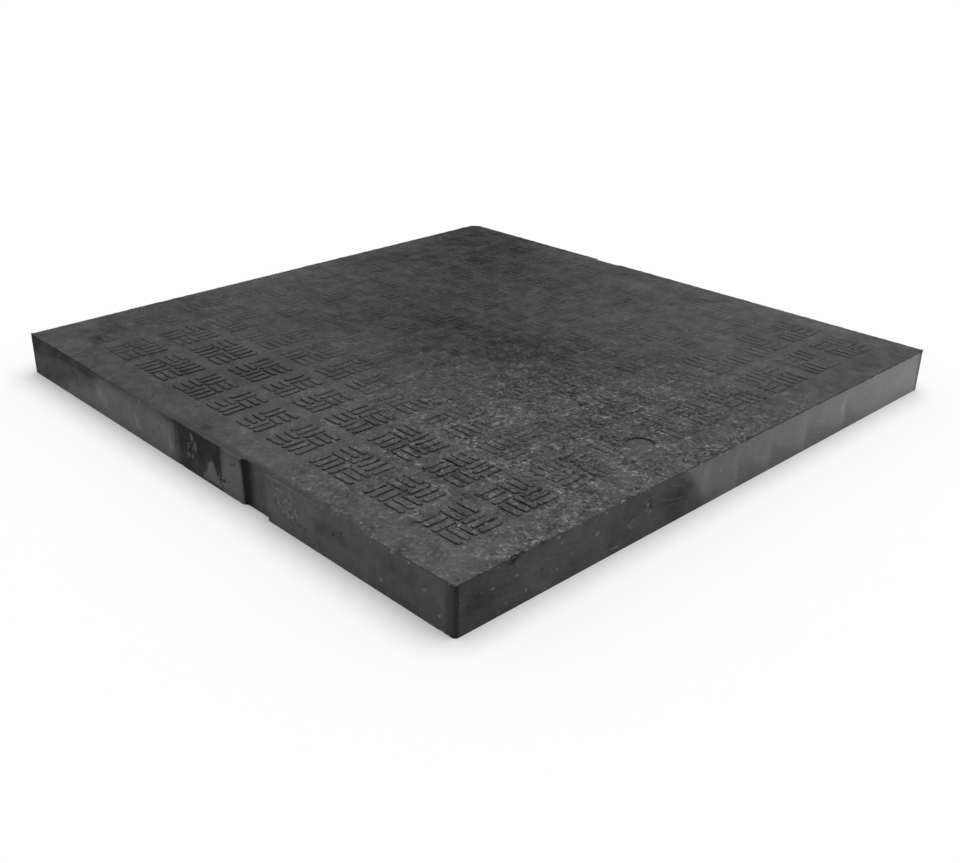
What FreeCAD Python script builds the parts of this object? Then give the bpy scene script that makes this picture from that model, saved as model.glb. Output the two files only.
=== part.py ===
import FreeCAD, Part
import math
import os

# Access cover: one moulded square plate with a raised bar tread.
# Millimetres, Z up, origin at the middle of the underside.
# X runs along the front wall and Y from the front wall to the back wall.

# Plate
SIDE = 400.0               # plan size between opposite walls
THICKNESS = 27.5           # underside to the flat of the top
EDGE_FALL = 1.2            # how far the bare strip round the tread falls towards the walls
CORNER_RADIUS = 2.2        # upright corners
TOP_EDGE_BREAK = 0.8       # broken edge round the top

# Lifting slots, one in the front wall and its half-turn copy in the back wall
SLOT_WIDTH = 23.0          # along the wall
SLOT_DEPTH = 2.6           # into the wall, at the top
SLOT_OFFSET = 51.8         # middle of the wall to middle of the slot, at the top
SLOT_LEAN = 3.3            # degrees that the slot leans along the wall, outwards at the underside
SLOT_DRAFT = 1.3           # degrees that the back of the slot leans out towards the underside
SLOT_SCOOP_RADIUS = 4.5    # hollow curve at the slot's end nearer the middle, the other end is square

# Tread bars
BAR_WIDTH = 3.2
BAR_GAP = 2.15             # between two bars of a group
BAR_HEIGHT = 0.8           # crest of a bar above the plate
VALLEY_SHARE = 0.25        # height of the dip between two bars, as a share of the bar height

# Motifs, listed from the middle of the cover outwards, the same along X and Y
MOTIF_BARS = (2, 3, 4, 3, 3)                        # bars in a group
MOTIF_BAR_LENGTHS = (10.4, 12.0, 13.4, 13.4, 13.4)  # bars that lie across the group beside them
GROUP_GAP = 1.2            # between the groups of a motif
MOTIF_GAP = 8.9            # between motifs, and the least bare strip along the edge of the cover
GROUPS_IN_LINE = 2         # groups of a motif along X and along Y
LONG_GROUPS_IN_LINE = 3    # the same along the widest motifs where they are slimmest the other way

# First group, at the far left of a motif: a lies along X, u runs along Y.
# One word for each row of motifs, one letter for each column, from the middle outwards.
WEAVE = ("uauaa", "aaauu", "aaauu", "uuaaa", "uuaaa")

# Bare pad, in the place of the middle motifs of the back row
PAD_HEIGHT = 0.4

# Round dimple
DIMPLE_DIAMETER = 15.2
DIMPLE_DEPTH = 1.1
DIMPLE_FROM_RIGHT = 32.8
DIMPLE_FROM_FRONT = 161.3

HALF = SIDE / 2
BAR_PITCH = BAR_WIDTH + BAR_GAP
ROOT = THICKNESS / 2       # level that raised features start from, inside the plate
ORIGIN = FreeCAD.Vector(0, 0, 0)


def point(x, y, z):
    return FreeCAD.Vector(x, y, z)


def box(x0, x1, y0, y1, z0, z1):
    return Part.makeBox(x1 - x0, y1 - y0, z1 - z0, point(x0, y0, z0))


def planar(points):
    return Part.Face(Part.makePolygon(points + points[:1]))


def plate(flat):
    # The top is flat as far out as the tread and falls from there to the rim
    rim_level = THICKNESS - EDGE_FALL
    solid = box(-HALF, HALF, -HALF, HALF, 0, rim_level)
    corners = [e for e in solid.Edges if e.BoundBox.ZLength > THICKNESS / 2]
    solid = solid.makeFillet(CORNER_RADIUS, corners)
    rim = [e for e in solid.Edges if e.BoundBox.ZMin > THICKNESS / 2]
    solid = solid.makeChamfer(TOP_EDGE_BREAK, rim)
    foot = HALF - CORNER_RADIUS
    crown = Part.makeWedge(-foot, 0, -foot, -flat, -flat, foot, EDGE_FALL, foot, flat, flat)
    crown = crown.rotated(ORIGIN, point(1, 0, 0), 90)
    return solid.fuse(crown.translated(point(0, 0, rim_level)))


def lifting_slot():
    # The scoop meets the wall's face at the stated width, so its own side stands a little outside that
    shortfall = max(SLOT_SCOOP_RADIUS - SLOT_DEPTH, 0)
    overlap = SLOT_SCOOP_RADIUS - math.sqrt(SLOT_SCOOP_RADIUS ** 2 - shortfall ** 2)
    start = SLOT_OFFSET - SLOT_WIDTH / 2 - overlap
    end = SLOT_OFFSET + SLOT_WIDTH / 2
    above = 2 * THICKNESS
    slope = math.tan(math.radians(SLOT_DRAFT))
    lean = math.tan(math.radians(SLOT_LEAN))
    start -= (above - THICKNESS) * lean
    end -= (above - THICKNESS) * lean
    back = -HALF + SLOT_DEPTH + (above - THICKNESS) * slope
    bend = back - SLOT_SCOOP_RADIUS
    outside = bend - above
    turn = SLOT_SCOOP_RADIUS * (1 - math.sqrt(0.5))
    corners = [point(start, bend, above), point(start, outside, above), point(end, outside, above),
               point(end, back, above), point(start + SLOT_SCOOP_RADIUS, back, above)]
    scoop = Part.Arc(corners[-1], point(start + turn, back - turn, above), corners[0])
    outline = Part.Wire(Part.makePolygon(corners).Edges + [scoop.toShape()])
    return Part.Face(outline).extrude(point(2 * above * lean, -2 * above * slope, -2 * above))


def group_width(bars):
    return bars * BAR_WIDTH + (bars - 1) * BAR_GAP


def motif_places():
    places = []
    start = MOTIF_GAP / 2
    step = 0
    while True:
        kind = min(step, len(MOTIF_BARS) - 1)
        end = start + group_width(MOTIF_BARS[kind]) + GROUP_GAP + MOTIF_BAR_LENGTHS[kind]
        if end > HALF - MOTIF_GAP:
            return places
        places += [(start, end, kind), (-end, -start, kind)]
        start = end + MOTIF_GAP
        step += 1


def spans(start, end, across, bars):
    # Along one line of a motif, groups that lie across it keep their width and the others share the rest
    fixed = group_width(bars)
    free = (end - start) - across.count(True) * fixed - (len(across) - 1) * GROUP_GAP
    length = free / max(across.count(False), 1)
    found = []
    for lies_across in across:
        reach = fixed if lies_across else length
        found.append((start, start + reach))
        start += reach + GROUP_GAP
    return found


def division(bars, crossing_bars):
    # How many groups a motif has in one direction, and how many bars each of them has
    if bars == max(MOTIF_BARS) and crossing_bars == min(MOTIF_BARS):
        return LONG_GROUPS_IN_LINE, min(MOTIF_BARS)
    return GROUPS_IN_LINE, bars


def motif_groups(column, row):
    x0, x1, kind_x = column
    y0, y1, kind_y = row
    count_x, bars_x = division(MOTIF_BARS[kind_x], MOTIF_BARS[kind_y])
    count_y, bars_y = division(MOTIF_BARS[kind_y], MOTIF_BARS[kind_x])
    first = WEAVE[kind_y][kind_x] == "u"
    last = count_y - 1
    upright = [[first == ((i + last - j) % 2 == 0) for j in range(count_y)] for i in range(count_x)]
    groups = []
    for i in range(count_x):
        for j in range(count_y):
            along_x = spans(x0, x1, [upright[k][j] for k in range(count_x)], bars_x)[i]
            along_y = spans(y0, y1, [not upright[i][k] for k in range(count_y)], bars_y)[j]
            groups.append((along_x, along_y, upright[i][j], bars_x if upright[i][j] else bars_y))
    return groups


def ridges(along_x, along_y, upright, bars):
    # A group is one rooted block with a crest on each bar and a dip between bars
    start, end = along_x if upright else along_y
    near, far = along_y if upright else along_x
    profile = [(start, ROOT), (start, THICKNESS)]
    for i in range(bars):
        crest = start + BAR_WIDTH / 2 + i * BAR_PITCH
        profile.append((crest, THICKNESS + BAR_HEIGHT))
        if i < bars - 1:
            profile.append((crest + BAR_PITCH / 2, THICKNESS + VALLEY_SHARE * BAR_HEIGHT))
    profile += [(end, THICKNESS), (end, ROOT)]
    if upright:
        face = planar([point(p, near, z) for p, z in profile])
        return face.extrude(point(0, far - near, 0))
    face = planar([point(near, p, z) for p, z in profile])
    return face.extrude(point(far - near, 0, 0))


def middle(span):
    return (span[0] + span[1]) / 2


def tread(places, back_row, dimple_x, dimple_y):
    # The middle motifs of the back row leave their place to the pad
    solids = []
    for column in places:
        for row in places:
            if row == back_row and column[2] == 0:
                continue
            for along_x, along_y, upright, bars in motif_groups(column, row):
                off_dimple = math.hypot(middle(along_x) - dimple_x, middle(along_y) - dimple_y)
                if off_dimple > DIMPLE_DIAMETER / 2:
                    solids.append(ridges(along_x, along_y, upright, bars))
    return solids


def cover():
    dimple_x = HALF - DIMPLE_FROM_RIGHT
    dimple_y = DIMPLE_FROM_FRONT - HALF
    dimple = Part.makeCylinder(DIMPLE_DIAMETER / 2, DIMPLE_DEPTH + THICKNESS,
                               point(dimple_x, dimple_y, THICKNESS - DIMPLE_DEPTH))
    front_slot = lifting_slot()
    back_slot = front_slot.rotated(ORIGIN, point(0, 0, 1), 180)
    places = motif_places()
    back_row = max(places)
    pad_reach = places[0][1]
    pad = box(-pad_reach, pad_reach, back_row[0], back_row[1], ROOT, THICKNESS + PAD_HEIGHT)
    body = plate(back_row[1] + GROUP_GAP).cut([front_slot, back_slot])
    raised = body.fuse([pad] + tread(places, back_row, dimple_x, dimple_y))
    return raised.cut(dimple)


os.makedirs("parts", exist_ok=True)
shape = cover()
solid = shape.Solids[0]
print("cover", len(shape.Solids), "solid", len(solid.Faces), "faces", round(solid.Volume), "mm3")
print("valid", solid.isValid())
solid.exportStep("parts/cover.step")
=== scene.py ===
import bmesh
import bpy
import math
import random
from mathutils import Matrix, Vector


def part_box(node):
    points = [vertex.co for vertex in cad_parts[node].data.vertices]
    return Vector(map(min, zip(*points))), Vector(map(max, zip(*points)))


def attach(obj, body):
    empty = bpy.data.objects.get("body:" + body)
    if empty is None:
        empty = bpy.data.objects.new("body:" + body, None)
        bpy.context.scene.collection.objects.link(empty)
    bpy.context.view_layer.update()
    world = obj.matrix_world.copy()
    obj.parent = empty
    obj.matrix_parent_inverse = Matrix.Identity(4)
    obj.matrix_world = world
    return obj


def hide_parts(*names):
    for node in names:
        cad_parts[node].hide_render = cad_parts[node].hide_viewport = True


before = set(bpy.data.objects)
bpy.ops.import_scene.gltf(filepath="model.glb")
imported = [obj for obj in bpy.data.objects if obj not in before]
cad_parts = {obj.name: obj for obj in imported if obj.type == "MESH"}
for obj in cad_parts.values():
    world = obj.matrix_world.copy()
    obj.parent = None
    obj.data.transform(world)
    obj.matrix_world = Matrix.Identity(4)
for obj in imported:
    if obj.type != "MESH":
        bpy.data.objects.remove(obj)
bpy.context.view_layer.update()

from types import SimpleNamespace

mm = 0.001
close = 0.1 * mm  # points nearer than this count as level or in line
chance = random.Random(27)
coverLow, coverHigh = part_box("cover")
print("frame loaded, cover box in mm", [round(v / mm, 1) for v in coverHigh - coverLow])


# small helpers for working as by hand
def pick(piece):
    bpy.ops.object.select_all(action="DESELECT")
    piece.select_set(True)
    bpy.context.view_layer.objects.active = piece


def edit(piece):
    pick(piece)
    bpy.ops.object.mode_set(mode="EDIT")


def leaveEdit():
    bpy.ops.object.mode_set(mode="OBJECT")


def choose(piece, kind, test):  # selects the verts, edges or faces that pass the test
    bpy.ops.mesh.select_mode(type=kind)
    bpy.ops.mesh.select_all(action="DESELECT")
    shape = bmesh.from_edit_mesh(piece.data)
    items = {"VERT": shape.verts, "EDGE": shape.edges, "FACE": shape.faces}[kind]
    chosen = [item for item in items if test(item)]
    for item in chosen:
        item.select_set(True)
    shape.select_flush_mode()
    bmesh.update_edit_mesh(piece.data)
    return len(chosen)


def added(name):  # the primitive that was just added, with its size put into its mesh
    piece = bpy.context.object
    piece.name = name
    bpy.ops.object.transform_apply(location=True, rotation=True, scale=True)
    return piece


def box(name, low, high):
    low, high = Vector(low), Vector(high)
    bpy.ops.mesh.primitive_cube_add(size=1, location=(low + high) / 2, scale=high - low)
    return added(name)


def combine(piece, tool, operation):  # unites or cuts, and uses the tool up
    pick(piece)
    step = piece.modifiers.new("combine", "BOOLEAN")
    step.operation = operation
    step.solver = "MANIFOLD"
    step.object = tool
    bpy.ops.object.modifier_apply(modifier=step.name)
    bpy.data.objects.remove(tool)


def joined(pieces):  # one object from several
    bpy.ops.object.select_all(action="DESELECT")
    for piece in pieces:
        piece.select_set(True)
    bpy.context.view_layer.objects.active = pieces[0]
    bpy.ops.object.join()
    return pieces[0]


def ends(edge):
    return edge.verts[0].co, edge.verts[1].co


# plate
plate = {
    "side": 400 * mm,
    "thickness": 27.5 * mm,
    "flatHalf": 179.35 * mm,  # the top is flat this far out and falls from there to the rim
    "edgeFall": 1.2 * mm,
    "border": 0.6 * mm,  # between the cut edges of the slope and the uncut flat
    "cornerRadius": 2.2 * mm,
    "cornerSegments": 3,
    "wornCornerRadius": 8 * mm,  # the far left corner
    "wornCornerSegments": 7,
    "rimRadius": 0.7 * mm,
    "rimSegments": 3,
    "alongCuts": (15, 15),  # 256 strips along each wall
    "upCuts": 7,
    "smoothAngle": math.radians(32),
    "wallWave": 0.30 * mm,
    "wallWaveSize": 22 * mm,
    "rimWave": 0.8 * mm,
    "rimWaveSize": 6 * mm,
    "rimWear": 0.10 * mm,
    "rimSag": 1.1 * mm,  # the front rim is lowest by the slot
    "sagPlace": (30 * mm, 175 * mm),  # middle and reach along the front
}
topZ = plate["thickness"]
rimZ = topZ - plate["edgeFall"]
half = plate["side"] / 2


def isLong(edge):  # level edges that run along a wall
    first, second = ends(edge)
    run = first - second
    across, along = sorted((abs(run.x), abs(run.y)))
    reach = max(abs(v) for v in (first + second) / 2)
    outside = reach > plate["flatHalf"] - plate["border"] / 2
    return outside and abs(run.z) < close and across < close and along > 10 * mm


def isUpright(edge):
    return abs(ends(edge)[0].z - ends(edge)[1].z) > topZ / 2


def isFarLeft(edge):
    return ends(edge)[0].x < -half * 0.9 and ends(edge)[0].y > half * 0.9


def makePlate():
    piece = box("cover_finish", (-half, -half, 0), (half, half, rimZ))
    edit(piece)
    choose(piece, "FACE", lambda f: f.normal.z > 0.9)
    bpy.ops.mesh.inset(thickness=half - plate["flatHalf"], depth=plate["edgeFall"])
    bpy.ops.mesh.inset(thickness=plate["border"])
    choose(piece, "EDGE", lambda e: isUpright(e) and isFarLeft(e))
    bpy.ops.mesh.bevel(offset=plate["wornCornerRadius"], segments=plate["wornCornerSegments"], affect="EDGES")
    choose(piece, "EDGE", lambda e: isUpright(e) and not isFarLeft(e))
    bpy.ops.mesh.bevel(offset=plate["cornerRadius"], segments=plate["cornerSegments"], affect="EDGES")
    for cuts in plate["alongCuts"]:
        choose(piece, "EDGE", isLong)
        bpy.ops.mesh.subdivide(number_cuts=cuts)
    choose(piece, "EDGE", isUpright)
    bpy.ops.mesh.subdivide(number_cuts=plate["upCuts"])
    choose(piece, "EDGE", lambda e: all(abs(p.z - rimZ) < close for p in ends(e)))
    bpy.ops.mesh.bevel(offset=plate["rimRadius"], segments=plate["rimSegments"], affect="EDGES")
    leaveEdit()
    print("plate reach", [max(abs(v.co[i]) for v in piece.data.vertices) / mm for i in range(3)])
    return piece


def wave(piece, name, chosen):  # moves the chosen points in and out by soft noise
    group = piece.vertex_groups.new(name=name)
    group.add([v.index for v in piece.data.vertices if chosen(v.co)], 1.0, "REPLACE")
    clouds = bpy.data.textures.new(name, "CLOUDS")
    clouds.noise_scale = plate[name + "Size"]
    step = piece.modifiers.new(name, "DISPLACE")
    step.texture = clouds
    step.texture_coords = "LOCAL"
    step.vertex_group = group.name
    step.strength = plate[name]
    step.mid_level = 0.5
    pick(piece)
    bpy.ops.object.modifier_apply(modifier=step.name)
    piece.vertex_groups.clear()


def waveWalls(piece):
    wave(piece, "wallWave", lambda p: 0.5 * mm < p.z < rimZ - 1.5 * mm)
    wave(piece, "rimWave", lambda p: -1.0 * mm < p.z - rimZ < 0.02 * mm)


def wearRim(piece):
    middle, reach = plate["sagPlace"]
    for v in piece.data.vertices:
        if v.co.y < -half + 2 * mm and -1.0 * mm < v.co.z - rimZ < 0.5 * mm:
            v.co.z -= plate["rimSag"] * max(1 - ((v.co.x - middle) / reach) ** 2, 0)
    edit(piece)
    choose(piece, "VERT", lambda v: -2.2 * mm < v.co.z - rimZ < 0.02 * mm)
    bpy.ops.transform.vertex_random(offset=plate["rimWear"], seed=7)
    leaveEdit()


# nicks along the rims, each cut by a small lump
nicks = {
    "count": 88,
    "length": (0.8 * mm, 3.0 * mm),
    "depth": (0.3 * mm, 0.9 * mm),
    "large": (  # place and length along the right rim
        (-166 * mm, 4.0 * mm), (-161 * mm, 3.0 * mm), (-148 * mm, 2.0 * mm),
    ),
    "largeDepth": 1.4 * mm,
    "foot": (  # place and length along the foot of the front wall
        (192 * mm, 3.0 * mm), (196 * mm, 2.2 * mm), (43 * mm, 2.6 * mm),
        (61 * mm, 2.4 * mm), (-18 * mm, 3.0 * mm),
    ),
    "footDepth": 0.8 * mm,
    "corner": (4 * mm, 8.5 * mm, 12 * mm, 16.5 * mm, 20 * mm),  # heights up the front left corner
    "cornerReach": (0.7 * mm, 1.3 * mm),
}


def lump(place, reach):
    bpy.ops.mesh.primitive_ico_sphere_add(subdivisions=1, radius=1, location=place, scale=reach,
                                          rotation=(0, 0, chance.uniform(0, 0.4)))
    return added("nick_tool")


def cutNicks(piece):
    tools = []
    for i in range(nicks["count"]):
        along = chance.uniform(-0.97, 0.97) * half
        length = chance.uniform(*nicks["length"]) / 2
        depth = chance.uniform(*nicks["depth"])
        side = math.copysign(half, (i % 2) - 0.5)
        place = (along, side, rimZ) if i % 4 < 2 else (side, along, rimZ)
        reach = (length, depth, depth) if i % 4 < 2 else (depth, length, depth)
        tools.append(lump(place, reach))
    deep = nicks["largeDepth"]
    for y, length in nicks["large"]:
        tools.append(lump((half, y, rimZ), (deep, length, deep)))
    deep = nicks["footDepth"]
    for x, length in nicks["foot"]:
        tools.append(lump((x, -half, 0), (length, deep, deep)))
    corner = plate["cornerRadius"] * 0.29 - half  # on the rounding
    for height in nicks["corner"]:
        reach = chance.uniform(*nicks["cornerReach"])
        tall = reach * chance.uniform(0.9, 1.6)
        tools.append(lump((corner, corner, height), (reach, reach, tall)))
    print("nicks", len(tools))
    combine(piece, joined(tools), "DIFFERENCE")


# lifting slots, the second is the first turned by half a turn
slot = {
    "width": 23.0 * mm,
    "depth": 2.6 * mm,
    "offset": 51.8 * mm,
    "lean": math.radians(3.3),  # along the wall, outwards at the underside
    "draft": math.radians(1.3),
    "scoopRadius": 4.5 * mm,
    "scoopSegments": 8,
}


def makeSlotTool():
    reach = math.sqrt(slot["scoopRadius"] ** 2 - (slot["scoopRadius"] - slot["depth"]) ** 2)
    start = slot["offset"] - slot["width"] / 2 - (slot["scoopRadius"] - reach)
    end = slot["offset"] + slot["width"] / 2
    back = -half + slot["depth"]
    piece = box("slot_tool", (start, back - 6 * slot["depth"], -topZ), (end, back, 2 * topZ))
    edit(piece)
    choose(piece, "EDGE", lambda e: all(p.x < start + mm and p.y > back - mm for p in ends(e)))
    bpy.ops.mesh.bevel(offset=slot["scoopRadius"], segments=slot["scoopSegments"], affect="EDGES")
    lean = topZ * math.tan(slot["lean"])
    slope = topZ * math.tan(slot["draft"])
    choose(piece, "FACE", lambda f: f.normal.z > 0.9)
    bpy.ops.transform.translate(value=(-lean, slope, 0))
    choose(piece, "FACE", lambda f: f.normal.z < -0.9)
    bpy.ops.transform.translate(value=(2 * lean, -2 * slope, 0))
    leaveEdit()
    return piece


def cutSlots(piece):
    tool = makeSlotTool()
    other = tool.copy()
    other.data = tool.data.copy()
    bpy.context.scene.collection.objects.link(other)
    other.data.transform(Matrix.Rotation(math.pi, 4, "Z"))
    combine(piece, tool, "DIFFERENCE")
    combine(piece, other, "DIFFERENCE")


# tread
tread = {
    "barWidth": 3.2 * mm,
    "barGap": 2.15 * mm,
    "barHeight": 0.8 * mm,
    "shoulder": 0.30 * mm,  # sloped edge round the top of a bar
    "root": 2.0 * mm,  # how deep a bar reaches into the plate
    "roundVertices": 12,
    "reach": 10 * mm,  # half the straight length of the bar that is copied
    "sideCuts": 3,
    "groupGap": 1.2 * mm,
    "motifGap": 8.9 * mm,
    "motifBars": (2, 3, 4, 3, 3),  # from the middle outwards
    "motifBarLengths": (10.4 * mm, 12.0 * mm, 13.4 * mm, 13.4 * mm, 13.4 * mm),
    "groupsInLine": 2,
    "longGroupsInLine": 3,
    "weave": ("uauaa", "aaauu", "aaauu", "uuaaa", "uuaaa"),  # first group of each motif
    "sway": math.radians(0.6),
    "shift": 0.08 * mm,
    "rough": 0.13 * mm,  # how far the points of a bar stray
    "uneven": (0.12, 0.45),  # how much the height differs along a bar, least and most worn
    "wornHeight": 0.32,  # share of its height that a bar keeps where the cover is walked on most
    "keptToFront": (-50, -130),  # mm along y and x, where bars keep more and more of their height
    "keptFromLeft": (-190, -60),
    "keptToRight": (80, 165),
    "groupShare": (0.15, 1.35),  # how much worn groups differ from one another
    "barShare": (0.75, 1.1),  # and bars
}
pad = {"height": 0.4 * mm, "slope": 1.6 * mm}
dimple = {
    "radius": 7.6 * mm,
    "depth": 1.1 * mm,
    "x": half - 32.8 * mm,
    "y": 161.3 * mm - half,
    "vertices": 48,
    "footRadius": 0.3 * mm,
    "footSegments": 3,
}


def groupWidth(bars):
    return bars * tread["barWidth"] + (bars - 1) * tread["barGap"]


def motifPlaces():
    places = []
    start = tread["motifGap"] / 2
    for kind, bars in enumerate(tread["motifBars"]):
        end = start + groupWidth(bars) + tread["groupGap"] + tread["motifBarLengths"][kind]
        places += [(start, end, kind), (-end, -start, kind)]
        start = end + tread["motifGap"]
    return places


def spans(start, end, across, bars):  # groups that lie across keep their width, the others share the rest
    fixed = groupWidth(bars)
    free = end - start - across.count(True) * fixed - (len(across) - 1) * tread["groupGap"]
    length = free / max(across.count(False), 1)
    found = []
    for liesAcross in across:
        reach = fixed if liesAcross else length
        found.append((start, start + reach))
        start += reach + tread["groupGap"]
    return found


def division(bars, crossingBars):
    if bars == max(tread["motifBars"]) and crossingBars == min(tread["motifBars"]):
        return tread["longGroupsInLine"], min(tread["motifBars"])
    return tread["groupsInLine"], bars


def motifGroups(column, row):
    x0, x1, kindX = column
    y0, y1, kindY = row
    countX, barsX = division(tread["motifBars"][kindX], tread["motifBars"][kindY])
    countY, barsY = division(tread["motifBars"][kindY], tread["motifBars"][kindX])
    first = tread["weave"][kindY][kindX] == "u"
    upright = [[first == ((i + countY - 1 - j) % 2 == 0) for j in range(countY)] for i in range(countX)]
    groups = []
    for i in range(countX):
        for j in range(countY):
            alongX = spans(x0, x1, [upright[k][j] for k in range(countX)], barsX)[i]
            alongY = spans(y0, y1, [not upright[i][k] for k in range(countY)], barsY)[j]
            groups.append((alongX, alongY, upright[i][j], barsX if upright[i][j] else barsY))
    return groups


def makeBar():  # one bar with rounded ends, its long sides cut so that they can stray
    radius = tread["barWidth"] / 2 / math.cos(math.pi / tread["roundVertices"])
    bpy.ops.mesh.primitive_circle_add(vertices=tread["roundVertices"], radius=radius, fill_type="NGON",
                                      rotation=(0, 0, math.pi / tread["roundVertices"]),
                                      location=(0, 0, topZ - tread["root"]))
    piece = added("tread_bar")
    edit(piece)
    bpy.ops.mesh.select_all(action="SELECT")
    rise = tread["root"] + tread["barHeight"] - tread["shoulder"]
    bpy.ops.mesh.extrude_region_move(TRANSFORM_OT_translate={"value": (0, 0, rise)})
    bpy.ops.mesh.inset(thickness=tread["shoulder"], depth=tread["shoulder"])
    for side in (-1, 1):
        choose(piece, "VERT", lambda v: v.co.x * side > 0)
        bpy.ops.transform.translate(value=(side * tread["reach"], 0, 0))
    choose(piece, "EDGE", lambda e: abs(ends(e)[0].x - ends(e)[1].x) > tread["reach"])
    bpy.ops.mesh.subdivide(number_cuts=tread["sideCuts"])
    bpy.ops.mesh.select_all(action="SELECT")
    bpy.ops.mesh.normals_make_consistent(inside=False)
    leaveEdit()
    return piece


def ramp(value, low, high):  # 0 to 1 between low and high, in Python
    share = min(max((value - low) / (high - low), 0), 1)
    return share * share * (3 - 2 * share)


def keptHeight(x, y):  # bars are worn least along the front and right edges
    front = ramp(y / mm, *tread["keptToFront"]) * ramp(x / mm, *tread["keptFromLeft"])
    right = 0.5 * ramp(x / mm, *tread["keptToRight"])
    kept = max(front, right)
    return tread["wornHeight"] + (1 - tread["wornHeight"]) * kept


def layBar(source, middle, length, turned, share):
    bar = source.copy()
    bar.data = source.data.copy()
    bpy.context.scene.collection.objects.link(bar)
    stretch = (length - tread["barWidth"]) / 2
    kept = keptHeight(*middle)
    least, most = tread["uneven"]
    uneven = least + (most - least) * (1 - kept) / (1 - tread["wornHeight"])
    kept = kept * share * chance.uniform(*tread["barShare"])
    strays = {}
    for v in bar.data.vertices:
        column = (round(v.co.x / mm, 2), round(v.co.y / mm, 2))  # points above one another stray together
        if column not in strays:
            strays[column] = Vector((chance.gauss(0, 1), chance.gauss(0, 1), 0)) * tread["rough"]
        straight = min(max(v.co.x, -tread["reach"]), tread["reach"])
        v.co.x += straight * (stretch / tread["reach"] - 1)
        v.co += strays[column]
        if v.co.z > topZ:
            v.co.z = topZ + (v.co.z - topZ) * kept * chance.uniform(1 - uneven, 1 + uneven)
    angle = (math.pi / 2 if turned else 0) + chance.uniform(-1, 1) * tread["sway"]
    nudge = Vector((chance.uniform(-1, 1), chance.uniform(-1, 1), 0)) * tread["shift"]
    place = Vector((middle[0], middle[1], 0)) + nudge
    bar.data.transform(Matrix.Translation(place) @ Matrix.Rotation(angle, 4, "Z"))
    return bar


def layGroup(source, alongX, alongY, upright, bars):
    start = alongX[0] if upright else alongY[0]
    near, far = alongY if upright else alongX
    steady = ramp(keptHeight(sum(alongX) / 2, sum(alongY) / 2), 0.4, 0.9)
    share = steady + (1 - steady) * chance.uniform(*tread["groupShare"])
    laid = []
    for i in range(bars):
        across = start + tread["barWidth"] / 2 + i * (tread["barWidth"] + tread["barGap"])
        along = (near + far) / 2
        middle = (across, along) if upright else (along, across)
        laid.append(layBar(source, middle, far - near, upright, share))
    return laid


def layTread():
    source = makeBar()
    places = motifPlaces()
    backRow = max(places)
    bars = []
    for column in places:
        for row in places:
            if row == backRow and column[2] == 0:
                continue
            for alongX, alongY, upright, count in motifGroups(column, row):
                offX = sum(alongX) / 2 - dimple["x"]
                offY = sum(alongY) / 2 - dimple["y"]
                if math.hypot(offX, offY) > dimple["radius"]:
                    bars += layGroup(source, alongX, alongY, upright, count)
    bpy.data.objects.remove(source)
    print("tread bars", len(bars))
    return joined(bars), backRow, places[0][1]


def makePad(backRow, reach):
    piece = box("pad", (-reach, backRow[0], topZ - tread["root"]), (reach, backRow[1], topZ + pad["height"]))
    edit(piece)
    choose(piece, "FACE", lambda f: f.normal.z > 0.9)
    bpy.ops.transform.translate(value=(0, 0, -pad["height"]))
    bpy.ops.mesh.inset(thickness=pad["slope"], depth=pad["height"])
    leaveEdit()
    return piece


def cutDimple(piece):
    bpy.ops.mesh.primitive_cylinder_add(vertices=dimple["vertices"], radius=dimple["radius"], depth=topZ,
                                        location=(dimple["x"], dimple["y"], topZ * 1.5 - dimple["depth"]))
    tool = added("dimple_tool")
    edit(tool)
    choose(tool, "EDGE", lambda e: all(p.z < topZ for p in ends(e)))
    bpy.ops.mesh.bevel(offset=dimple["footRadius"], segments=dimple["footSegments"], affect="EDGES")
    leaveEdit()
    combine(piece, tool, "DIFFERENCE")


def makeCover():
    piece = makePlate()
    waveWalls(piece)
    wearRim(piece)
    cutSlots(piece)
    cutNicks(piece)
    bars, backRow, reach = layTread()
    combine(piece, bars, "UNION")
    combine(piece, makePad(backRow, reach), "UNION")
    cutDimple(piece)
    pick(piece)
    bpy.ops.object.shade_smooth_by_angle(angle=plate["smoothAngle"])
    triangles = sum(len(p.vertices) - 2 for p in piece.data.polygons)
    print("cover faces", len(piece.data.polygons), "triangles", triangles)
    return piece


# shader maths
class Wire:
    def __init__(self, tree, socket=None):
        self.tree = tree
        self.socket = socket

    def node(self, kind, settings=None, sockets=None, out=0):
        made = self.tree.nodes.new("ShaderNode" + kind)
        for name, value in (settings or {}).items():
            setattr(made, name, value)
        for name, value in (sockets or {}).items():
            if isinstance(value, Wire):
                self.tree.links.new(value.socket, made.inputs[name])
            else:
                made.inputs[name].default_value = value
        return Wire(self.tree, made.outputs[out])

    def maths(self, operation, first, second):
        return self.node("Math", {"operation": operation}, {0: first, 1: second})

    def __add__(self, other):
        return self.maths("ADD", self, other)

    def __radd__(self, other):
        return self.maths("ADD", other, self)

    def __sub__(self, other):
        return self.maths("SUBTRACT", self, other)

    def __rsub__(self, other):
        return self.maths("SUBTRACT", other, self)

    def __mul__(self, other):
        return self.maths("MULTIPLY", self, other)

    def __rmul__(self, other):
        return self.maths("MULTIPLY", other, self)


def step(value, low, high):  # 0 below low, 1 above high, smooth between
    return value.node("MapRange", {"interpolation_type": "SMOOTHSTEP"},
                      {"Value": value, "From Min": low, "From Max": high})


def larger(first, second):
    return first.maths("MAXIMUM", first, second)


def parts(vector):
    return tuple(vector.node("SeparateXYZ", sockets={0: vector}, out=axis) for axis in "XYZ")


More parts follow.
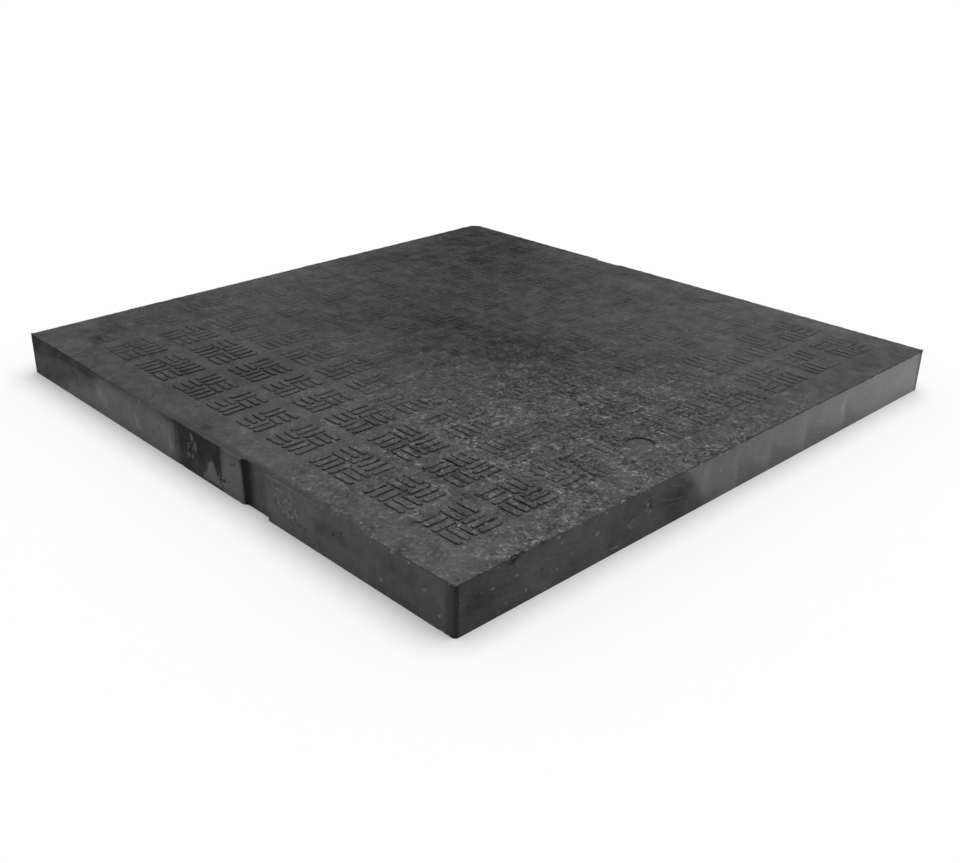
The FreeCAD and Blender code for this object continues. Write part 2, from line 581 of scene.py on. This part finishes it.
# finish
plastic = {
    "top": 0.065,
    # the walls' level sits below the top's as painted shade
    "wall": 0.056,
    "speck": 0.16,  # pale granules in the top
    "dot": 0.09,  # pale specks on the walls
    "specular": 0.12,
    "roughTop": 0.85,
    "roughWall": 0.75,
    "coatRoughness": 0.25,
    "bumpStrength": 0.6,
    "bumpHeight": 0.4 * mm,
    "smudgesAndShade": (  # x, y, reach in mm, change of tone; the small ones are smudges and the pale one at y 164 is the pad, the broad dark ones over the middle, far and left are painted shade
        (0, -193, 9, 7, -0.40),
        (-159, -172, 9, 9, -0.40),
        (-172, -158, 20, 14, -0.20),
        (-40, 40, 190, 150, -0.32),
        (50, 0, 140, 120, -0.24),
        (60, -150, 130, 50, 0.06),
        (-170, 190, 230, 170, -0.40),
        (178, -192, 60, 26, 0.14),
        (-20, -128, 30, 12, 0.18),
        (70, -105, 40, 14, 0.15),
        (0, 164, 30, 18, 0.30),
    ),
    "frontMarks": (  # x, z, reach along and up in mm, change of tone
        (-109, 14, 5, 5, 0.60),
        (-104, 9, 5, 5, 0.45),
        (-64, 11, 2.0, 6, 0.75),
        (-61.5, 7, 2.5, 3, 0.65),
        (-28, 9, 2.2, 6, 0.55),
        (-30, 25, 16, 3, -0.50),
        (-194, 24, 16, 8, -0.30),
        (165, 19, 22, 7, -0.18),
        (-69, 19.5, 1.2, 1.2, -0.60),
        (-54, 21, 1.2, 1.2, -0.60),
        (-36, 19.5, 1.2, 1.2, -0.60),
        (-41, 15.5, 1.2, 1.0, -0.50),
        (-46, 8, 2.5, 1.5, -0.40),
        (35, 19, 2, 2, -0.60),
        (26, 8, 6, 1.6, -0.70),
        (73, 22.5, 3, 1.2, -0.40),
        (91.5, 8.5, 1.6, 1.6, -0.60),
        (106, 4.5, 1.2, 1.2, -0.60),
        (115, 15.5, 22, 6, -0.34),
        (110, 12, 90, 30, 0.18),
        (80, 12, 34, 30, 0.14),
    ),
    "rightMarks": (  # y, z, reach along and up in mm, change of tone; the pale ones at y -26 and 107 are painted glints, the dark ones at the near end and in the large nick at y -164 are painted shade
        (-200, 14, 45, 30, -0.22),
        (-186, 14, 12, 9, -0.10),
        (-99, 11, 8, 9, -0.20),
        (-120, 10, 40, 25, 0.10),
        (-164, 25.0, 6, 2.0, -0.70),
        (-49, 12, 18, 18, -0.22),
        (-26, 15, 4, 9, 0.30),
        (-20, 3, 9, 5, -0.35),
        (107, 17, 3.5, 6, 0.40),
    ),
    "crumbs": (  # x, y, z, reach along a wall and up in mm, how much the surface is broken
        (-8.5, -200, 13, 8, 8, 1.1),
        (80, -200, 14, 17, 11, 0.5),
        (24, -200, 9, 7, 4, 0.8),
        (200, -84, 12.5, 6, 5, 0.9),
        (200, -72, 16, 6, 5, 0.8),
    ),
    "dots": (  # x, y, z, reach along a wall and up in mm, change of tone
        (171, -200, 24.5, 1.2, 1.0, 2.0),
        (152, -200, 7.0, 0.9, 1.8, 1.6),
        (190.5, -200, 7.5, 1.5, 1.0, 1.4),
        (181, -200, 15.5, 1.6, 1.4, 1.0),
        (118, -200, 15.3, 1.1, 1.0, -0.8),
        (124, -200, 18.8, 1.3, 0.8, -0.8),
        (96, -200, 8.5, 1.4, 1.2, -0.7),
        (75, -200, 21.5, 4.5, 0.8, 0.7),
        (85, -200, 18.0, 2.0, 1.0, 0.7),
        (-106, -200, 21.4, 1.2, 1.0, 1.2),
        (-59.5, -200, 24.0, 1.6, 0.8, 1.0),
        (200, -178, 15.7, 1.8, 1.0, 1.2),
        (200, -163, 16.4, 1.4, 1.4, 0.8),
        (200, -170, 5.0, 1.0, 1.2, 1.2),
        (200, -157, 6.0, 0.9, 1.4, 1.4),
        (200, -147, 12.6, 1.1, 1.0, -0.8),
        (200, -135, 21.0, 1.4, 0.9, 1.0),
        (200, -137, 8.6, 1.4, 0.9, 1.0),
        (200, -127, 12.6, 1.2, 0.9, 0.8),
        (200, -110, 16.0, 2.2, 1.8, 1.1),
        (200, -96, 3.0, 4.0, 1.0, 1.0),
        (200, -73, 17.0, 1.5, 1.2, 1.0),
        (200, -13.5, 16.4, 1.8, 1.2, 0.8),
    ),
    "streaks": (  # x, z, reach along and up in mm, on the front wall
        (-4.5, 21.5, 2.2, 3.5),
        (-1.5, 17, 2.0, 4.5),
    ),
    "lobes": (  # start, length and height in mm of the darker lobes in the right wall's painted sheen
        (3, 32, 19),
        (33.5, 36, 17),
        (68, 52, 18),
        (110, 30, 17),
    ),
}
wide = 60  # mm, reach of a mark across the surface that it lies on


def noise(place, size, detail=3.0):
    return place.node("TexNoise", sockets={"Vector": place, "Scale": 1 / size, "Detail": detail})


def flakes(place, size):  # cells of random tone
    return place.node("TexVoronoi", sockets={"Vector": place, "Scale": 1 / size}, out="Color")


def spot(place, centre, reach, soft=0.35):  # 1 inside an oval, 0 outside it
    off = place.node("VectorMath", {"operation": "SUBTRACT"}, {0: place, 1: centre})
    share = place.node("VectorMath", {"operation": "DIVIDE"}, {0: off, 1: reach})
    away = place.node("VectorMath", {"operation": "LENGTH"}, {0: share}, "Value")
    return step(away, 1, soft)


def bentPlace(place, size, amount):  # strays to and fro, for edges that aren't straight
    drift = place.node("TexNoise", sockets={"Vector": place, "Scale": 1 / size, "Detail": 3.0}, out="Color")
    drift = place.node("VectorMath", {"operation": "SUBTRACT"}, {0: drift, 1: (0.5, 0.5, 0.5)})
    drift = place.node("VectorMath", {"operation": "SCALE"}, {0: drift, "Scale": amount})
    return place.node("VectorMath", {"operation": "ADD"}, {0: place, 1: drift})


def readSurface(start):  # places in mm, facings and noises that the finish is made of
    s = SimpleNamespace()
    local = start.node("TexCoord", out="Object")
    s.place = start.node("VectorMath", {"operation": "SCALE"}, {0: local, "Scale": 1000.0})
    s.x, s.y, s.z = parts(s.place)
    s.facingX, s.facingY, s.up = parts(start.node("NewGeometry", out="Normal"))
    s.flatX, s.flatY, s.flatUp = parts(start.node("NewGeometry", out="True Normal"))
    s.bent = bentPlace(s.place, 9, 7)
    s.crumpled = bentPlace(s.place, 2.5, 3)
    s.cloud = noise(s.place, 70, 3)
    s.smear = noise(s.place, 13, 4)
    s.clump = noise(s.place, 6, 3)
    s.grain = noise(s.place, 1.6, 3)
    s.fine = noise(s.place, 0.9, 2)
    s.blotch = noise(s.bent, 22, 3)
    s.large = flakes(s.crumpled, 2.8)
    s.small = flakes(s.crumpled, 1.4)
    s.stray = (s.smear - 0.5) * 22 + (s.clump - 0.5) * 8
    # ambient occlusion, for the painted shade at the feet of the bars
    around = start.node("AmbientOcclusion", {"samples": 4, "only_local": True}, {"Distance": 0.9 * mm}, "AO")
    s.nook = 1 - around
    return s


def stretched(s, along, across, up):  # noise that is drawn out, along x, y and z in turn
    return noise(s.place.node("CombineXYZ", sockets={"X": along, "Y": across, "Z": up}), 1, 2)


def findRegions(s):  # masks of the cover's own regions
    x, y, z = s.x, s.y, s.z
    s.top, s.rim, s.outer = topZ / mm, rimZ / mm, half / mm
    s.onTop = step(s.up, 0.80, 0.97) * step(z, s.rim - 0.8, s.rim - 0.3)
    s.onRim = step(z, s.rim - 1.1, s.rim - 0.7) * step(s.up, 0.05, 0.25) * (1 - s.onTop)
    s.raised = step(z, s.top - 0.03, s.top + 0.03)
    s.isTop = larger(s.onTop, s.raised)
    s.front = step(y, -198.7, -199.3)
    s.right = step(x, 198.7, 199.3)
    sideX, sideY = x.maths("ABSOLUTE", x, 0), y.maths("ABSOLUTE", y, 0)
    s.along = x * -1 * y.maths("SIGN", y, 0)  # the same in both slots
    s.inSlot = step(sideY, 199.4, 199.0) * step(sideY, 195, 196) * step(s.up, 0.5, 0.3)
    s.inSlot = s.inSlot * step(s.along, 37, 38) * step(s.along, 67, 66)
    # the upright corners, which are darkened below as painted shade
    out = sideX + sideY
    leftEnd = step(out, 392.5, 397) * step(x + y, 60, 20) * s.front
    rightEnd = step(out, 395.5, 397) * step(x + y, 200, 300) * s.right
    s.corner = larger(larger(step(out, 397.6, 398.2), 0.75 * leftEnd), 0.6 * rightEnd)
    s.brink = step(y, -192, -198) * step(x, 40, 100)  # beside the front and right rims
    s.brink = larger(s.brink, step(x, 188, 196) * step(y, 90, -10))
    flecked = spot(s.place, (160, -70, s.top), (210, 190, wide), 0.2)
    inDimple = spot(s.place, (dimple["x"] / mm, dimple["y"] / mm, s.top), (7.6, 7.6, wide), 0.95)
    s.granular = (0.20 + 0.76 * flecked + 0.22 * s.brink) * (1 - 0.8 * inDimple)


def topFinish(s):  # granular and coarser to the right and front, painted paler to the right and front as light falloff
    # painted light: the tone rises to the right and front in place of the lamp's falloff
    tone = 1 + s.x * 0.0010 - s.y * 0.0003
    tone = tone + (s.cloud - 0.5) * 0.8 + (s.smear - 0.5) * 1.0 + (s.clump - 0.5) * 0.6
    pale = step(s.small + (s.clump - 0.5) * 0.8, 0.62, 0.78)
    dark = step(s.small + (s.smear - 0.5) * 0.6, 0.30, 0.14)
    granules = pale * 0.85 - dark * 0.50 + (s.large - 0.5) * 0.6 + (s.grain - 0.5) * 1.2 - 0.20
    tone = tone + s.granular * granules + s.granular * (s.fine - 0.5) * 1.2
    # smudges, and broad painted shade over the middle, far and left
    for x, y, reachX, reachY, change in plastic["smudgesAndShade"]:
        tone = tone + spot(s.bent, (x, y, s.top), (reachX, reachY, wide), 0.1) * change
    tone = larger(tone * barShading(s), 0.15)
    flecks = step(s.small + (s.clump - 0.5) * 1.2 + (s.grain - 0.5) * 0.5, 0.90, 1.02) * s.granular
    return tone * plastic["top"] + flecks * (plastic["speck"] - plastic["top"])


def barShading(s):  # painted light and shade on the bars: dark sides, shoulders and feet along the kept bars; along the worn bars the sides to the front and right lighter and those to the back darker, broken by noise
    keptFront = step(s.y, *tread["keptToFront"]) * step(s.x, *tread["keptFromLeft"])
    kept = larger(keptFront, 0.4 * step(s.x, *tread["keptToRight"]))
    barSide = s.raised * step(s.flatUp, 0.80, 0.35)
    onPad = spot(s.place, (0, 164, s.top), (34, 22, wide), 0.9)
    ahead = larger(step(s.facingY, -0.2, -0.6), step(s.facingX, 0.2, 0.6))  # sides to the front and right
    behind = larger(step(s.flatY, 0.06, 0.25), step(s.flatX, -0.06, -0.25))
    broken = step(s.clump + (s.grain - 0.5) * 0.7, 0.40, 0.56)
    # painted light and shade: worn bars' sides to the front and right lighter, to the back darker
    paintedSideLight = (1 - kept) * (ahead * (2.5 - 2.2 * broken) - behind * 0.75)
    # painted shade on the kept bars' sides, broken by noise
    paintedSideShade = kept * step(s.clump + (s.grain - 0.5) * 0.5, 0.36, 0.54)
    # painted shade on the shoulders, most on those facing the back
    shoulder = s.raised * step(s.flatUp, 0.998, 0.985) * (1 - barSide) * (1 - onPad)
    shoulder = shoulder * (0.08 + 0.16 * kept + 0.45 * behind)
    # painted shade at the feet of the bars
    foot = s.nook * (0.22 + 0.34 * kept + 0.22 * broken)
    return (1 + barSide * (paintedSideLight - 0.6 * paintedSideShade) - shoulder) * (1 - foot)


def frontTone(s):  # painted sheen to the left, painted shade at the left end and under the rim, dark beside the slot, with scuffs and pits
    x, z, stray = s.x, s.z, s.stray
    drips = stretched(s, x * 0.4, s.y * 0.4, z * 0.04) - 0.5
    # painted sheen: pale patches to the left
    paleZone = step((x + 172) * 0.33 - z + stray * 0.3, -6, 7) * step(x + stray * 0.4 + drips * 14, -14, -32)
    paleZone = paleZone * step(z + stray * 0.2, 25, 18)
    # painted shade: darker at the left end
    endZone = (1 - paleZone) * step(x + stray, -95, -125)
    # painted shade: a band under the rim from the left end towards the slot
    under = 20.5 - 7 * step(x, -155, -198) + 3.5 * step(x, -116, -106) + 2 * step(x, -90, -60)
    soft = 0.9 + 4 * step(x, -150, -195)
    band = step(z + (s.clump - 0.5) * 4 - under, soft * -1, soft) * step(x, -40, -75)
    darkZone = step(x + stray * 0.3 + drips * 12, -28, -17) * step(x + stray * 0.3, 27, 22)
    darkZone = darkZone * (0.60 + 0.40 * step(z, 3, 17))
    tone = drips * 0.4 + paleZone * 0.62 - endZone * 0.28 - band * 0.34 - darkZone * 0.86
    for markX, markZ, reachX, reachZ, change in plastic["frontMarks"]:
        tone = tone + spot(s.bent, (markX, -s.outer, markZ), (reachX, wide, reachZ)) * change
    slant = (x - 14).maths("ABSOLUTE", x - 14, 0)
    triangle = step((16 - z) * 0.66 - slant + (s.clump - 0.5) * 6, -1.6, 1.6) * step(z, 0.5, 2.5)
    patch = step(x + stray * 0.2, 22, 25) * step(x, 43, 41.5) * step(z + stray * 0.2, 25, 21)
    streak = 0
    for markX, markZ, reachX, reachZ in plastic["streaks"]:
        streak = larger(spot(s.crumpled, (markX, -s.outer, markZ), (reachX, wide, reachZ), 0.4), streak)
    return s.front * (tone + triangle * 1.15 + patch * 0.40 + streak)


def rightTone(s):  # scraped along its length, with marks, two painted glints and painted shade
    scrape = stretched(s, (s.z + s.y * 0.25) * 0.8, s.y * 0.05, s.x * 0.05)
    scratched = spot(s.bent, (s.outer, -52, 15), (wide, 15, 8), 0.5)
    tone = (scrape - 0.5) * 0.6 + scratched * (step(scrape, 0.56, 0.66) * 0.6 - 0.1)
    for markY, markZ, reachY, reachZ, change in plastic["rightMarks"]:
        tone = tone + spot(s.bent, (s.outer, markY, markZ), (wide, reachY, reachZ)) * change
    return s.right * tone


def rightSheen(s):  # the far part of the right wall is smooth, with a painted sheen: paler tone broken by darker lobes
    y, z = s.y, s.z
    # painted reflection: the right wall paler from near its middle to the far end
    sheen = s.right * step(y + s.stray * 0.4 - (13 - z) * 0.7, -38, -28) * (0.53 + 0.47 * step(y, -40, 190))
    for begin, length, tall in plastic["lobes"]:
        below = tall - (y - begin) * (tall / length) - z + s.stray * 0.2
        edge = y + (s.clump - 0.5) * 3 - begin
        # darker lobes in the painted sheen, with bright painted stripes beside them
        lobe = step(edge, -0.8, 0.8) * step(below, -1.5, 4)
        stripe = step(edge, -8, -2) * step(edge, 0.5, -0.5) * step(z, 3, 9)
        sheen = sheen * (1 - 0.33 * lobe + 0.15 * stripe)
    return sheen * (1 - 0.25 * step(y, 192, 196))


def wallTones(s, sheen, slotShade):  # mottled, with the marks of each wall, its painted sheen and painted shade
    tone = 1 + (s.blotch - 0.5) * 0.6 + (s.smear - 0.5) * 0.7 + (s.clump - 0.5) * 0.5 + (s.grain - 0.5) * 0.55
    # the sheen is painted into the tone here as well as setting the coat
    tone = tone + frontTone(s) + rightTone(s) + sheen * 0.85
    crumbs = step(s.small, 0.60, 0.72) * 0.9 - step(s.small, 0.42, 0.30) * 0.8 + (s.grain - 0.5) * 1.2
    for x, y, z, reach, reachZ, weight in plastic["crumbs"]:
        tone = tone + spot(s.bent, (x, y, z), (reach, reach, reachZ), 0.4) * weight * crumbs
    for x, y, z, reach, reachZ, change in plastic["dots"]:
        tone = tone + spot(s.crumpled, (x, y, z), (reach, reach, reachZ), 0.5) * change
    # painted shade along the rim's rounding
    rimDark = s.onRim * (0.2 + 0.4 * s.right * step(s.y, -60, -10)) * step(s.clump, 0.30, 0.50)
    # painted shade at the slot's end and the upright corners, the slot's back painted lighter
    tone = tone * (1 - 0.9 * slotShade) * (1 - 0.55 * s.corner) * (1 - rimDark) * (1 + 0.32 * s.inSlot)
    return larger(tone, 0.12)


def wallFinish(s, tone):
    nearRim = step(s.z, s.rim - 3, s.rim - 1) * s.brink
    dots = step(s.small + (s.grain - 0.5) * 0.8 + 0.12 * nearRim, 0.98, 1.08)
    pits = step(s.small - (s.grain - 0.5) * 0.8, 0.06, -0.06)
    return tone * (1 - 0.6 * pits) * plastic["wall"] + dots * plastic["dot"]


def plasticMaterial():
    material = bpy.data.materials.new("recycled_plastic")
    material.use_nodes = True
    tree = material.node_tree
    shader = tree.nodes["Principled BSDF"]
    start = Wire(tree)
    s = readSurface(start)
    findRegions(s)
    sheen = rightSheen(s)
    # painted shade at the left end of each slot
    slotShade = s.inSlot * step(s.along + (s.smear - 0.5) * 3, 55, 45)
    wallTone = wallTones(s, sheen, slotShade)
    wallLevel = wallFinish(s, wallTone)
    level = wallLevel + s.isTop * (topFinish(s) - wallLevel)
    blue = level * (1.03 + (s.smear - 0.5) * 0.12)
    colour = start.node("CombineColor", sockets={"Red": level, "Green": level, "Blue": blue})
    rough = plastic["roughWall"] + s.isTop * (plastic["roughTop"] - plastic["roughWall"])
    rough = rough + (s.smear - 0.5) * 0.15
    coat = (1 - s.isTop) * (sheen * 0.8 + s.front * 0.10 * wallTone)
    coat = coat * (1 - slotShade) * (1 - s.corner) * (1 - s.onRim)
    height = (s.large * 0.5 + s.small * 0.4 + s.grain * 0.6) * (0.35 + 0.65 * s.granular)
    bump = start.node("Bump", sockets={"Strength": plastic["bumpStrength"], "Distance": plastic["bumpHeight"],
                                       "Height": height})
    for name, wire in (("Base Color", colour), ("Roughness", rough), ("Coat Weight", coat), ("Normal", bump)):
        tree.links.new(wire.socket, shader.inputs[name])
    shader.inputs["Coat Roughness"].default_value = plastic["coatRoughness"]
    shader.inputs["Specular IOR Level"].default_value = plastic["specular"]
    print("finish has", len(tree.nodes), "nodes")
    return material


# studio
studio = {
    "floorSize": 12.0,
    "floorColour": (0.95, 0.95, 0.95, 1),
    "worldStrength": 0.38,
    "sunStrength": 2.1,
    "sunAngle": math.radians(70),
    "sunFrom": (0.05, 0.22, 1.3),
}


def makeFloor():
    bpy.ops.mesh.primitive_plane_add(size=studio["floorSize"], location=(0, 0, 0))
    floor = added("floor")
    material = bpy.data.materials.new("floor_paper")
    material.use_nodes = True
    shader = material.node_tree.nodes["Principled BSDF"]
    shader.inputs["Base Color"].default_value = studio["floorColour"]
    shader.inputs["Roughness"].default_value = 0.9
    floor.data.materials.append(material)


def makeWorld():
    world = bpy.data.worlds.new("studio")
    bpy.context.scene.world = world
    world.use_nodes = True
    tree = world.node_tree
    back = tree.nodes["Background"]
    back.inputs["Color"].default_value = (1, 1, 1, 1)
    start = Wire(tree)
    path = start.node("LightPath", out="Is Camera Ray")
    seen = larger(path, start.node("LightPath", out="Is Glossy Ray"))
    seen = larger(seen, start.node("LightPath", out="Is Transmission Ray"))
    strength = studio["worldStrength"] + seen * (1 - studio["worldStrength"])
    tree.links.new(strength.socket, back.inputs["Strength"])


def makeSun():  # one wide soft light from high behind
    lamp = bpy.data.lights.new("key", "SUN")
    lamp.energy = studio["sunStrength"]
    lamp.angle = studio["sunAngle"]
    light = bpy.data.objects.new("key", lamp)
    bpy.context.scene.collection.objects.link(light)
    light.rotation_euler = Vector(studio["sunFrom"]).to_track_quat("Z", "Y").to_euler()


# camera, from the cover's corners, rims and tread
view = {
    "place": (486.0 * mm, -473.2 * mm, 255.5 * mm + topZ),
    "heading": math.radians(47.985),
    "pitch": math.radians(25.24),
    "lens": 42.815,
    "shift": 0.0549,  # the frame is cut to one side of the lens axis
}


def makeCamera():
    data = bpy.data.cameras.new("camera")
    data.sensor_width = 36.0
    data.lens = view["lens"]
    data.shift_x = view["shift"]
    data.clip_start = 0.01
    camera = bpy.data.objects.new("camera", data)
    bpy.context.scene.collection.objects.link(camera)
    turn = Matrix.Rotation(view["heading"], 4, "Z")
    tilt = Matrix.Rotation(math.pi / 2 - view["pitch"], 4, "X")
    camera.matrix_world = Matrix.Translation(view["place"]) @ turn @ tilt
    bpy.context.scene.camera = camera


bpy.ops.object.select_all(action="DESELECT")
cover = makeCover()
cover.data.materials.clear()
cover.data.materials.append(plasticMaterial())
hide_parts("cover")
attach(cover, "root")
print("cover finished")

makeFloor()
makeWorld()
makeSun()
makeCamera()
bpy.context.scene.view_settings.view_transform = "Standard"
print("studio ready")
